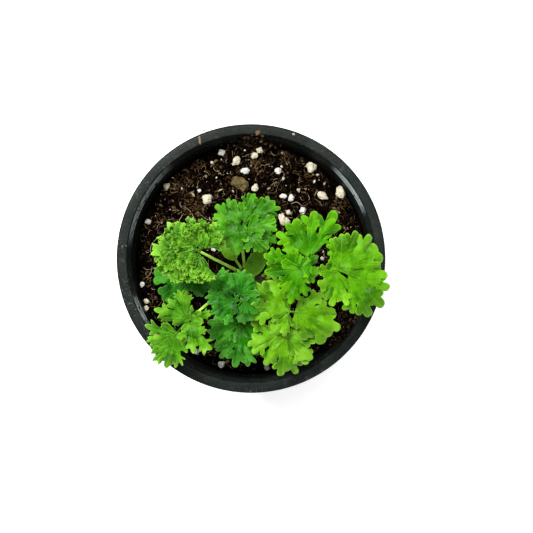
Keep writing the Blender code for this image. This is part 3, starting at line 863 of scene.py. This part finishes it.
# what differs from the usual leaf, with bearings in degrees and lengths in mm: each leaflet is the bearing
# and length of its own little stalk, and its lobes' bearings and lengths
leaves = {
    "a": dict(tone="curly", lean=0.12, frill=0.75, droop=1.0, bend=1.4, blunt=1.1, teeth=(3, 4, 5), curls=240,
              leaflets=[
        (60, 1.5, [(46, 7.6), (70, 8.8), (102, 8.6)]),
        (170, 1.8, [(118, 9.7), (138, 13.4), (153, 13.6), (170, 14.6), (187, 15), (200, 14.4), (214, 13.6)]),
        (250, 1.5, [(228, 8), (250, 10), (277, 9)])]),
    "b": dict(tone="shaded", frill=0.3, droop=1.0, bend=1.1, fill=1.1, web=0.6, teeth=(3, 3, 2, 4), leaflets=[
        (160, 1.2, [(142, 10), (175, 12)]),
        (225, 1.2, [(208, 11), (245, 11)]),
        (330, 1.0, [(25, 8.5), (342, 8), (305, 7.5)])]),
    "c": dict(tone="spring", lean=0.15, frill=0.6, droop=1.0, bend=1.6, blunt=1.25, fill=0.85, web=0.46,
              teeth=(3, 4, 5), bare=0.85, step=0.3, leaflets=[
        (115, 1.0, [(180, 9.8), (158, 11.3), (134, 9.6), (104, 10.6), (86, 9.4), (60, 4.8)]),
        (230, 7.7, [(168, 11.2), (187, 10.2), (206, 11), (222, 11.4), (238, 12), (256, 12.4), (279, 11.8),
                    (300, 7.2)]),
        (305, 1.6, [(330, 6.5), (307, 12.2), (277, 10), (240, 6.3)]),
        (20, 1.6, [(12, 7.2), (40, 4.5)])]),
    "d": dict(tone="mid", lean=0.08, frill=0.55, fill=1.1, web=0.56, bare=0.6, step=0.4, leaflets=[
        (200, 0.6, [(141, 6.2), (183, 8.3), (203, 7.8), (236, 7.4), (267, 8.8), (350, 5.2)]),
        (340, 5.2, [(258, 6), (293, 6.8), (319, 7.1), (352, 8.4)]),
        (60, 6.2, [(116, 5.6), (90, 7.9), (68, 5.8)]),
        (14, 5.6, [(352, 7.6), (12, 7.4), (36, 7.4)]),
        (47, 8, [(24, 8.6), (48, 8.2), (70, 6.4)]),
        (100, 5, [(104, 6.2), (128, 7.2), (158, 9.1), (176, 8.6), (195, 7.6)])]),
    "e": dict(tone="blue", frill=0.55, blunt=2.2, fill=1.1, web=0.56, bare=0.5, step=0.4, leaflets=[
        (225, 1.4, [(157, 10.2), (179, 9), (202, 8.8), (227, 8.2), (254, 8.6)]),
        (55, 4.4, [(120, 7), (90, 7), (62, 6), (27, 5.8), (343, 6)]),
        (337, 2.8, [(11, 5.6), (326, 6.6), (288, 7.2), (257, 8)]),
        (112, 5.9, [(182, 8), (157, 8), (133, 6.4), (106, 4.8)])]),
    "f": dict(tone="deep", frill=0.6, blunt=1.7, fill=1.05, web=0.56, teeth=(3, 4, 4), leaflets=[
        (200, 0.8, [(172, 11), (200, 12.5), (230, 12)]),
        (270, 1.0, [(247, 14), (263, 15.4), (279, 15.4), (294, 12.5)]),
        (330, 1.0, [(318, 9), (10, 8)])]),
    "g": dict(tone="bright", lean=0.12, bend=1.2, crease=0.5, blunt=2.6, teeth=(2, 3, 3), leaflets=[
        (130, 0.8, [(196, 13), (172, 13), (148, 14.5), (122, 12.5)]),
        (350, 2.6, [(38, 11.5), (8, 13.5), (342, 16.5), (320, 15.6), (292, 11)]),
        (245, 1.7, [(228, 8.5), (265, 7.5)])]),
    "h": dict(tone="leafy", lean=0.06, frill=0.45, bend=1.3, blunt=2.0, fill=1.05, bare=0.75, leaflets=[
        (145, 0.7, [(171, 12.2), (158, 10.6), (118, 8.4), (98, 6.4)]),
        (350, 1.0, [(24, 6.9), (345, 6.4), (314, 7.2)]),
        (270, 0.8, [(192, 11.8), (220, 9.3), (242, 11), (260, 13), (280, 10.4)]),
        (47, 6.0, [(144, 13.4), (132, 13.4), (118, 13.6), (103, 12.6), (85, 15.4), (63, 14.6), (56, 17),
                   (43, 10.8)])]),
    "j": dict(tone="lime", lean=0.15, bend=1.3, crease=0.45, blunt=2.6, fill=1.15, web=0.66, teeth=(2, 3, 3),
              leaflets=[
        (70, 1.2, [(118, 7.5), (98, 9.6), (80, 11), (54, 13.2), (36, 15.4), (20, 16.3), (5, 14.7)]),
        (340, 9.5, [(16, 8.8), (336, 10), (310, 11.5), (282, 13.4), (259, 12.1)]),
        (265, 1.2, [(214, 8.4), (240, 10.2), (262, 11.4), (284, 11.4)]),
        (182, 0.8, [(154, 3.6), (176, 6.2), (200, 5.5)])]),
    "k": dict(tone="bright", lean=0.12, bend=1.2, crease=0.6, teeth=(2, 3, 3), leaflets=[
        (185, 1.4, [(160, 11.5), (186, 12), (208, 11.5)]),
        (270, 1.1, [(234, 12), (271, 13.3), (286, 14.2), (306, 12.5)]),
        (345, 1.5, [(309, 12.2), (345, 10), (20, 8)])]),
}


def leafMaterial(tone, under=False):
    dark, middle, pale, sheen, tipLightShare = leafTones[tone]
    blade = Nodes(tone + ("Underside" if under else "Leaf"))
    place = blade.place()
    # how far out along its lobe a point is, how near the margin, and its lobe's own chance
    far, margin, chance = blade.add("SeparateColor", {"Color": blade.tone()}).outputs[:3]
    across, along = blade.grain()
    cloud = blade.noise(230, 3, place=place)
    mottle = blade.noise(900, 3, place=place)
    # a vein down the middle of each lobe, and slanting side veins
    off = blade.math("ABSOLUTE", across)
    vein = blade.times(blade.ramp(off, 0.04, 0.22, 1, 0), blade.ramp(along, 0.05, 0.3, 0.25, 1))
    slant = blade.math("FRACT", blade.plus(blade.times(along, 7), blade.times(off, -0.7)))
    sideVein = blade.ramp(blade.math("ABSOLUTE", blade.math("SUBTRACT", slant, 0.5)), 0.04, 0.14, 1, 0)
    share = blade.plus(blade.times(cloud, 0.65), blade.times(chance, 0.4))
    share = blade.plus(share, blade.times(mottle, 0.17))
    colour = blade.mix(blade.ramp(share, 0.4, 0.69), dark, middle)
    # random paler patches, then the lobes' far ends mixed paler as painted light on the tips
    for paler in (blade.ramp(share, 0.62, 0.95, 0, 0.6), blade.ramp(far, 0.55, 1.0, 0, tipLightShare),
                  # a pale margin line: partly the leaf's own paler edge, partly a painted highlight
                  blade.ramp(margin, 0.86, 0.99, 0, 0.7), blade.times(vein, 0.28),
                  blade.times(sideVein, 0.07), blade.ramp(along, 0.0, 0.12, 0.35, 0)):
        colour = blade.mix(paler, colour, pale)
    if under:
        colour = blade.mix(0.4, colour, leafSet["underTone"])
    blade.shade(Base_Color=colour, Roughness=blade.ramp(cloud, 0.3, 0.7, 0.26, 0.42),
                Specular_IOR_Level=sheen, Subsurface_Weight=0.1, Subsurface_Scale=1 * mm,
                Subsurface_Radius=leafSet["inside"])
    veins = blade.plus(vein, blade.times(sideVein, 0.4))
    height = blade.plus(blade.times(blade.cells(1500.0, place), 0.4), blade.times(veins, -0.6))
    blade.bump(height, 0.65, 0.2 * mm)
    return blade.material


curlSet = {  # the small lobes that stand up all over the curled leaf
    "lengths": (2.6, 5.6),  # mm
    "tilts": (0.1, 0.62),  # rise per mm
    "lifts": (0.3, 1.1),  # mm over the blade
    "wild": 2.0,  # how far they roll and twist, against a plain lobe
    "width": 0.2,  # half width, of the length
}


def risingBearings(lobes):
    # the lobes' bearings run on past 360 where needed, in rising order
    spread = [lobes[0][0]]
    for bearing, _ in lobes[1:]:
        spread.append(spread[-1] + (bearing - spread[-1] + 180) % 360 - 180)
    return sorted(zip(spread, [length for _, length in lobes]))


def lobeOutline(length, half, leaf, rng, emerge):
    # points round one lobe: along it, across it, and how far along its middle line the point hangs from
    palm = leafSet["palm"] * length
    tip = length - palm
    count = rng.choice(leaf["teeth"])
    step = 150 / max(count, 2.4)
    teeth = []
    for k in range(count):
        turn = (k - (count - 1) / 2) * step + rng.uniform(-7, 7)
        off = abs(turn) / 90
        reach = max(tip * (1 - 0.42 * off ** 1.5), half * off * 1.25 + 0.7) * rng.uniform(0.9, 1.05)
        teeth.append((turn, reach, step * rng.uniform(0.44, 0.52)))
    points = []
    rows = leafSet["rows"]
    for k in range(rows):
        t = emerge + (1 - emerge) * k / rows
        across = leafSet["neck"] + (half - leafSet["neck"]) * t ** 1.25
        points.append((palm * t, across, palm * t))
    turns = [105 - 210 * k / leafSet["fan"] for k in range(leafSet["fan"] + 1)]
    middle = []
    for turn in turns:
        angle = math.radians(turn)
        body = 1 / math.hypot(math.cos(angle) / (leafSet["body"] * tip), math.sin(angle) / half)
        radius = body
        for toothTurn, reach, width in teeth:
            share = 1 - abs((turn - toothTurn) / width) ** leaf["blunt"]
            if share > 0 and reach > body:
                radius = max(radius, body + (reach - body) * share)
        middle.append((palm + radius * math.cos(angle), radius * math.sin(angle), palm))
    mirrored = [(along, -across, hold) for along, across, hold in reversed(points)]
    return points + middle + mirrored


def addLobe(bm, base, bearing, length, half, leaf, heightAt, rng, lift=0.0, tilt=0.0, wild=1.0, emerge=0.0):
    # a strip to each side of the lobe's middle line, then a fan round its toothed end
    layer = bm.verts.layers.float_color["shade"]
    axis = polar(math.radians(bearing))
    side = up.cross(axis)
    bend = rng.uniform(-0.16, 0.16) * wild
    roll = rng.uniform(-0.45, 0.45) * leaf["bend"] * wild
    curl = rng.uniform(-1.6, 1.7) * leaf["bend"] * wild
    cup = rng.uniform(-0.2, 0.9) * leaf["bend"]
    fold = rng.uniform(-0.32, 0.4) * leaf["crease"] * leaf["bend"] * min(1, wild)
    chance = rng.random()
    seed = rng.uniform(0, 60)
    made = {}

    def spotAt(along, across, edge):
        key = (round(along, 4), round(across, 4))
        if key not in made:
            far = along / length
            flat = base + axis * along * mm + side * (across + bend * along * far) * mm
            spot = (flat.x / mm, flat.y / mm, 0)
            free = smoothStep(emerge * leafSet["palm"], 0.62, far) if emerge else 1
            rise = (lift + 0.2) * free - 0.2 + tilt * along + roll * across * far * free
            rise += curl * 3 * max(0, far - 0.45) ** 2
            rise += (fold * abs(across) - cup * across ** 2 / 6) * free
            rise += leaf["frill"] * edge ** 2 * (wobble(spot, 1.7, seed) + 0.5 * wobble(spot, 0.9, seed + 9))
            rise += leaf["bend"] * wobble(spot, 4.5, leaf["seed"]) * min(1, along / 4)
            flat.z = heightAt(flat) + rise * mm
            vert = bm.verts.new(flat)
            vert[layer] = (min(1, far), edge * free, 0.5 + (chance - 0.5) * free, 1)
            made[key] = vert
        return made[key]

    rows = leafSet["across"]
    columns = []
    for along, across, hold in lobeOutline(length, half, leaf, rng, emerge):
        column = []
        for j in range(rows + 1):
            v = j / rows
            reach, off = hold + (along - hold) * v, across * v
            column.append((spotAt(reach, off, v), (off, reach / length)))
        columns.append(column)
    addGrid(bm, columns)


def addWeb(bm, base, lobes, leaf, heightAt, tilt):
    # the whole part of a leaflet, from its base to where its lobes part
    layer = bm.verts.layers.float_color["shade"]
    past = leafSet["webPast"]
    start, end = lobes[0][0] - past, lobes[-1][0] + past
    count = max(8, int((end - start) / 3))
    steps = leafSet["webRows"]
    rows = []
    for i in range(count + 1):
        bearing = start + (end - start) * i / count
        inside = min(max(bearing, lobes[0][0]), lobes[-1][0])
        after = next((k for k in range(1, len(lobes)) if lobes[k][0] >= inside), len(lobes) - 1)
        (low, a), (high, b) = lobes[after - 1], lobes[after]
        reach = leaf["web"] * (a + (b - a) * (inside - low) / (high - low))
        reach *= (1 - (abs(bearing - inside) / (past + 1)) ** 2) ** 0.5
        nearest = min(abs(bearing - lobe[0]) for lobe in lobes)
        row = []
        for j in range(steps + 1):
            out = reach * j / steps
            flat = base + polar(math.radians(bearing), out * mm)
            spot = (flat.x / mm, flat.y / mm, 0)
            rise = leaf["bend"] * wobble(spot, 4.5, leaf["seed"]) * min(1, out / 4) + tilt * out
            flat.z = heightAt(flat) + rise * mm
            vert = bm.verts.new(flat)
            vert[layer] = (0.5 * j / steps, 0.3, 0.5, 1)
            row.append((vert, (math.radians(nearest) * out, 0.6 * j / steps)))
        rows.append(row)
    addGrid(bm, rows)


def addLeaflet(bm, base, lobes, leaf, heightAt, rng, flanked):
    lobes = risingBearings(lobes)
    bearings = [bearing for bearing, _ in lobes]
    gaps = [b - a for a, b in zip(bearings, bearings[1:])] or [34]
    tilt = rng.uniform(-0.06, 0.08) * leaf["bend"] * (2 if leaf["step"] else 1)
    if len(lobes) > 1:
        addWeb(bm, base, lobes, leaf, heightAt, tilt)
    # short lobes low on both sides of the leaflet, unless it stands on a long stalk
    flanks = ((*lobes[0], -leafSet["sideTurn"]), (*lobes[-1], leafSet["sideTurn"]))
    for bearing, length, off in flanks if flanked else ():
        short = length * rng.uniform(0.5, 0.62)
        half = max(leafSet["leastHalf"], short * 0.24)
        addLobe(bm, base, bearing + off, short, half, leaf, heightAt, rng, 0.0, tilt)
    order = sorted(range(len(lobes)), key=lambda k: abs(k - (len(lobes) - 1) / 2))
    for place, k in enumerate(order):
        bearing, length = lobes[k]
        near = gaps[max(0, k - 1):k + 1] or gaps
        wide = min(38, sum(near) / len(near))
        half = leafSet["palm"] * length * math.tan(math.radians(wide / 2)) * leaf["fill"]
        half = max(leafSet["leastHalf"], min(leafSet["mostHalf"], half))
        lift = 0.12 * (len(order) - place) + rng.uniform(0, 0.1)  # the middle lobes lie on top
        emerge = leafSet["emerge"] if len(lobes) > 1 else 0
        addLobe(bm, base, bearing, length, half, leaf, heightAt, rng, lift, tilt, emerge=emerge)


def stalkEnds(node):
    # middles of the lowest and highest rings of a stalk's solid
    verts = sorted((v.co.copy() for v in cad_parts[node].data.vertices), key=lambda co: co.z)
    ends = []
    for picked in (verts[:6], verts[-6:]):
        ends.append(sum(picked, Vector((0, 0, 0))) / len(picked))
    return ends


def makeBlade(name, bm, tone, node):
    # a blade as thin as a leaf, with a paler material below
    faceUp(bm)
    piece = makePiece(name, bm, [leafMaterial(tone), leafMaterial(tone, under=True)], [node])
    skin = piece.modifiers.new("bladeThickness", "SOLIDIFY")
    skin.thickness = leafSet["thickness"]
    skin.offset = -1
    skin.material_offset = 1
    skin.material_offset_rim = 0


def addRib(bm, hub, base, bearing, past, layerAt):
    # a leaflet's own little stalk, from under the hub to a little way up its blade
    rib = [hub.lerp(base, share) for share in (-0.3, 0.3, 0.8)]
    rib.append(base + polar(bearing, past * mm))
    for point in rib:
        point.z = layerAt(point) + leafSet["thickness"] / 2
    thick = leafSet["ribRadius"] * mm
    addTube(bm, rib, [thick * 1.25, thick * 1.15, thick, thick * 0.4], 8, (0.2, 0.3, 0.4, 1))


def addCurls(bm, hub, leaf, heightAt, rng):
    reach = [(math.radians(bearing), length) for _, _, lobes in leaf["leaflets"] for bearing, length in lobes]
    for _ in range(leaf["curls"]):
        bearing, length = rng.choice(reach)
        bearing += rng.uniform(-0.28, 0.28)
        out = length * math.sqrt(rng.uniform(0.03, 0.75))
        base = hub + polar(bearing, out * mm)
        size = rng.uniform(*curlSet["lengths"])
        leans = rng.uniform(*curlSet["tilts"])
        turn = math.degrees(bearing) + rng.uniform(-38, 38)
        lift = rng.uniform(*curlSet["lifts"])
        half = size * curlSet["width"]
        addLobe(bm, base, turn, size, half, leaf, heightAt, rng, lift, leans, curlSet["wild"])


def makeLeaf(name, leaf, number):
    rng = random.Random(100 + number)
    leaf = {**usualLeaf, **leaf, "seed": 7.3 * number}
    hub = stalkEnds(f"stalk_{name}")[1] + up * 0.5 * mm
    outward = Vector((hub.x, hub.y, 0)).normalized()

    def heightAt(place):
        away = Vector((place.x - hub.x, place.y - hub.y, 0))
        fall = leaf["lean"] * away.dot(outward) + leaf["droop"] * mm * (away.length / (10 * mm)) ** 2
        return hub.z - fall

    bm = startMesh()
    for order, (bearing, length, lobes) in enumerate(leaf["leaflets"]):
        # a long leaflet narrows to a wedge along its own stalk, so its base is nearer the hub
        bare = length if length < 4 else length * leaf["bare"]
        drop = leaf["step"] * order * mm

        def layerAt(place, drop=drop):
            return heightAt(place) - drop * smoothStep(0, 3 * mm, (place - hub).xy.length)

        turn = math.radians(bearing)
        base = hub + polar(turn, bare * mm)
        base.z += rng.uniform(-0.3, 0.5) * mm
        tips = []
        for lobeBearing, reach in lobes:
            tip = polar(turn, length - bare) + polar(math.radians(lobeBearing), reach)
            tips.append((math.degrees(math.atan2(tip.y, tip.x)), tip.length * leafSet["stretch"]))
        addLeaflet(bm, base, tips, leaf, layerAt, rng, bare == length or leaf["step"])
        addRib(bm, hub, base, turn, max(1.2, length - bare), layerAt)
    addCurls(bm, hub, leaf, heightAt, rng)
    makeBlade(f"leaf{name.upper()}", bm, leaf["tone"], f"leaf_{name}")


for number, (name, leaf) in enumerate(leaves.items()):
    makeLeaf(name, leaf, number)
print("leaves grown:", len(leaves))


# stalks, crowns, seed leaves and the new shoot

stalkSet = {
    "radius": 0.6 * mm,
    "tip": 0.8,  # of that radius
    "foot": 1.25,
    "ribs": 6,
    "points": 26,
    "sides": 12,
    "green": (0.40, 0.82, 0.06),
    "pale": (0.56, 0.86, 0.15),
    "blush": (0.30, 0.11, 0.05),
    "rise": {"stalk_j": 0.22, "stalk_a": 0.85},  # height of the bend, of the stalk's own height
    "usualRise": 0.66,
    "seedRise": 0.5,
    "rooted": 0.6,  # mm that its foot goes on into the crown
    "below": -0.35,  # mm that its end stays below its solid's, or goes past it into the blade
    "seedBelow": 0.7,
}


def stalkMaterial():
    skin = Nodes("stalkSkin")
    across, along = skin.grain()
    ribs = skin.math("SINE", skin.times(across, stalkSet["ribs"] * 2 * math.pi))
    cloud = skin.noise(500, 3)
    colour = skin.mix(skin.ramp(cloud, 0.35, 0.7), stalkSet["green"], stalkSet["pale"])
    colour = skin.mix(skin.ramp(ribs, -0.2, 1, 0, 0.35), colour, stalkSet["pale"])
    colour = skin.mix(skin.ramp(along, 0.0, 0.12, 0.8, 0), colour, stalkSet["blush"])
    skin.shade(Base_Color=colour, Roughness=0.42, Subsurface_Weight=0.15, Subsurface_Scale=1 * mm,
               Subsurface_Radius=leafSet["inside"])
    skin.bump(ribs, 0.3, 0.1 * mm)
    return skin.material


stalkSkin = stalkMaterial()


def makeStalk(node, pieceName):
    low, high = stalkEnds(node)
    rise = stalkSet["rise"].get(node, stalkSet["seedRise" if "seed" in node else "usualRise"])
    bend = low.lerp(high, 0.5)
    bend.z = low.z + (high.z - low.z) * rise
    below = stalkSet["seedBelow" if "seed" in node else "below"]
    points = bezier(low - up * stalkSet["rooted"] * mm, bend, high - up * below * mm, stalkSet["points"])
    radii = []
    for i in range(stalkSet["points"]):
        t = i / (stalkSet["points"] - 1)
        swell = (stalkSet["foot"] - 1) * (1 - smoothStep(0, 0.2, t))
        radii.append(stalkSet["radius"] * (1 + (stalkSet["tip"] - 1) * t + swell))
    bm = startMesh()
    addTube(bm, points, radii, stalkSet["sides"], (0.5, 0, 0.5, 1))
    makePiece(pieceName, bm, [stalkSkin], [node])


for name in leaves:
    makeStalk(f"stalk_{name}", f"stalk{name.upper()}")
for number in (1, 2, 3):
    makeStalk(f"seed_leaf_stalk_{number}", f"seedLeafStalk{number}")

seedLeafSet = {
    "turns": {1: 125, 2: 60, 3: 25},  # bearing of the tip
    "sizes": {1: (9.5, 5.4), 2: (13.4, 6.8), 3: (8.0, 4.8)},  # length and width in mm
    "shifts": {2: (0.3, -0.6)},  # x and y in mm, from the middle of its solid
    "cup": 0.5 * mm,
    "droop": 4.8 * mm,  # of its two ends
    "around": 40,
    "out": 12,
}


def makeSeedLeaf(number):
    low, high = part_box(f"seed_leaf_{number}")
    middle = (low + high) / 2 + Vector((*seedLeafSet["shifts"].get(number, (0, 0)), 0)) * mm
    length, width = (size * mm for size in seedLeafSet["sizes"][number])
    along = polar(math.radians(seedLeafSet["turns"][number]))
    side = up.cross(along)
    bm = startMesh()
    layer = bm.verts.layers.float_color["shade"]
    count, out = seedLeafSet["around"], seedLeafSet["out"]
    rows = []
    for i in range(count + 1):
        t = i / count
        half = width / 2 * math.sin(math.pi * t ** 0.85) ** 0.75 + 0.15 * mm
        row = []
        for j in range(-out, out + 1):
            s = j / out
            place = middle + along * (length * (t - 0.5)) + side * (half * s)
            sink = seedLeafSet["cup"] * (s * s - 1) - seedLeafSet["droop"] * (t - 0.4) ** 2
            place.z = high.z - 0.3 * mm + sink
            vert = bm.verts.new(place)
            vert[layer] = (0.35 + 0.3 * abs(s), abs(s), 0.4, 1)
            row.append((vert, ((j + out) / (2 * out), t)))
        rows.append(row)
    addGrid(bm, list(zip(*rows)))
    makeBlade(f"seedLeaf{number}", bm, "olive", f"seed_leaf_{number}")


for number in (1, 2, 3):
    makeSeedLeaf(number)


crownSet = {
    "points": 48,
    # height and radius, of the whole crown's, from its lower end up
    "outline": [(0, 0.42), (0.3, 0.55), (0.6, 0.75), (0.8, 0.95), (0.9, 1.0), (0.96, 0.95), (1, 0.78)],
    "lobes": 7,  # the feet of the stalks
    "lobeDepth": 0.07,  # of the radius
    "tones": [(0.02, 0.012, 0.006), (0.07, 0.045, 0.015)],
    "ringTone": (0.06, 0.11, 0.015),
}


def crownMaterial():
    rind = Nodes("crownRind")
    place = rind.place()
    cloud = rind.noise(900, 4, place=place)
    wave = rind.add("TexWave", {"Vector": place, "Scale": 500.0, "Distortion": 6.0}, bands_direction="Z")
    rings = wave.outputs["Fac"]
    colour = rind.mix(rind.ramp(cloud, 0.35, 0.7), *crownSet["tones"])
    colour = rind.mix(rind.times(rings, 0.3), colour, crownSet["ringTone"])
    rind.shade(Base_Color=colour, Roughness=0.7)
    rind.bump(rind.plus(cloud, rings), 0.5, 0.3 * mm)
    return rind.material


def makeCrown(side, rind):
    # a short stub with a rounded top, its skin split into the feet of the stalks
    node = f"crown_{side}"
    low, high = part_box(node)
    middle = (low + high) / 2
    radius = (high.x - low.x) / 2
    bm = startMesh()
    rings = []
    for t, share in crownSet["outline"]:
        height = low.z + (high.z - low.z) * t
        ring = []
        for turn in ringTurns(crownSet["points"]):
            wave = math.cos(crownSet["lobes"] * turn + 3 * t) * smoothStep(0.5, 1, t)
            out = radius * share * (1 + crownSet["lobeDepth"] * wave)
            x = middle.x + out * math.cos(turn)
            y = middle.y + out * math.sin(turn)
            ring.append(bm.verts.new((x, y, height)))
        rings.append(ring)
    addSkin(bm, rings)
    addCaps(bm, rings)
    makePiece(f"crown{side.title()}", bm, [rind], [node])


rind = crownMaterial()
makeCrown("left", rind)
makeCrown("right", rind)

shootSet = {
    "points": 21,
    "radius": 0.42,  # mm
    "bud": 0.45,  # mm that its widest place adds
    "budPlace": 0.72,  # of its height
    "budLength": 0.17,
    "lean": 0.5 * mm,
}


def makeShoot():
    # a young leaf still folded along its middle
    low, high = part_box("new_shoot")
    middle = (low + high) / 2
    tall = high.z - low.z
    points = []
    radii = []
    for i in range(shootSet["points"]):
        t = i / (shootSet["points"] - 1)
        points.append(Vector((middle.x + shootSet["lean"] * t * t, middle.y, low.z + tall * t)))
        bud = shootSet["bud"] * math.exp(-((t - shootSet["budPlace"]) / shootSet["budLength"]) ** 2)
        radii.append((shootSet["radius"] + bud) * mm * (1 if t < 0.9 else 0.25 + 7.5 * (1 - t)))
    bm = startMesh()
    addTube(bm, points, radii, 14, (0.6, 0.2, 0.5, 1))
    makePiece("newShoot", bm, [stalkSkin], ["new_shoot"])


makeShoot()
print("stalks and crowns made")
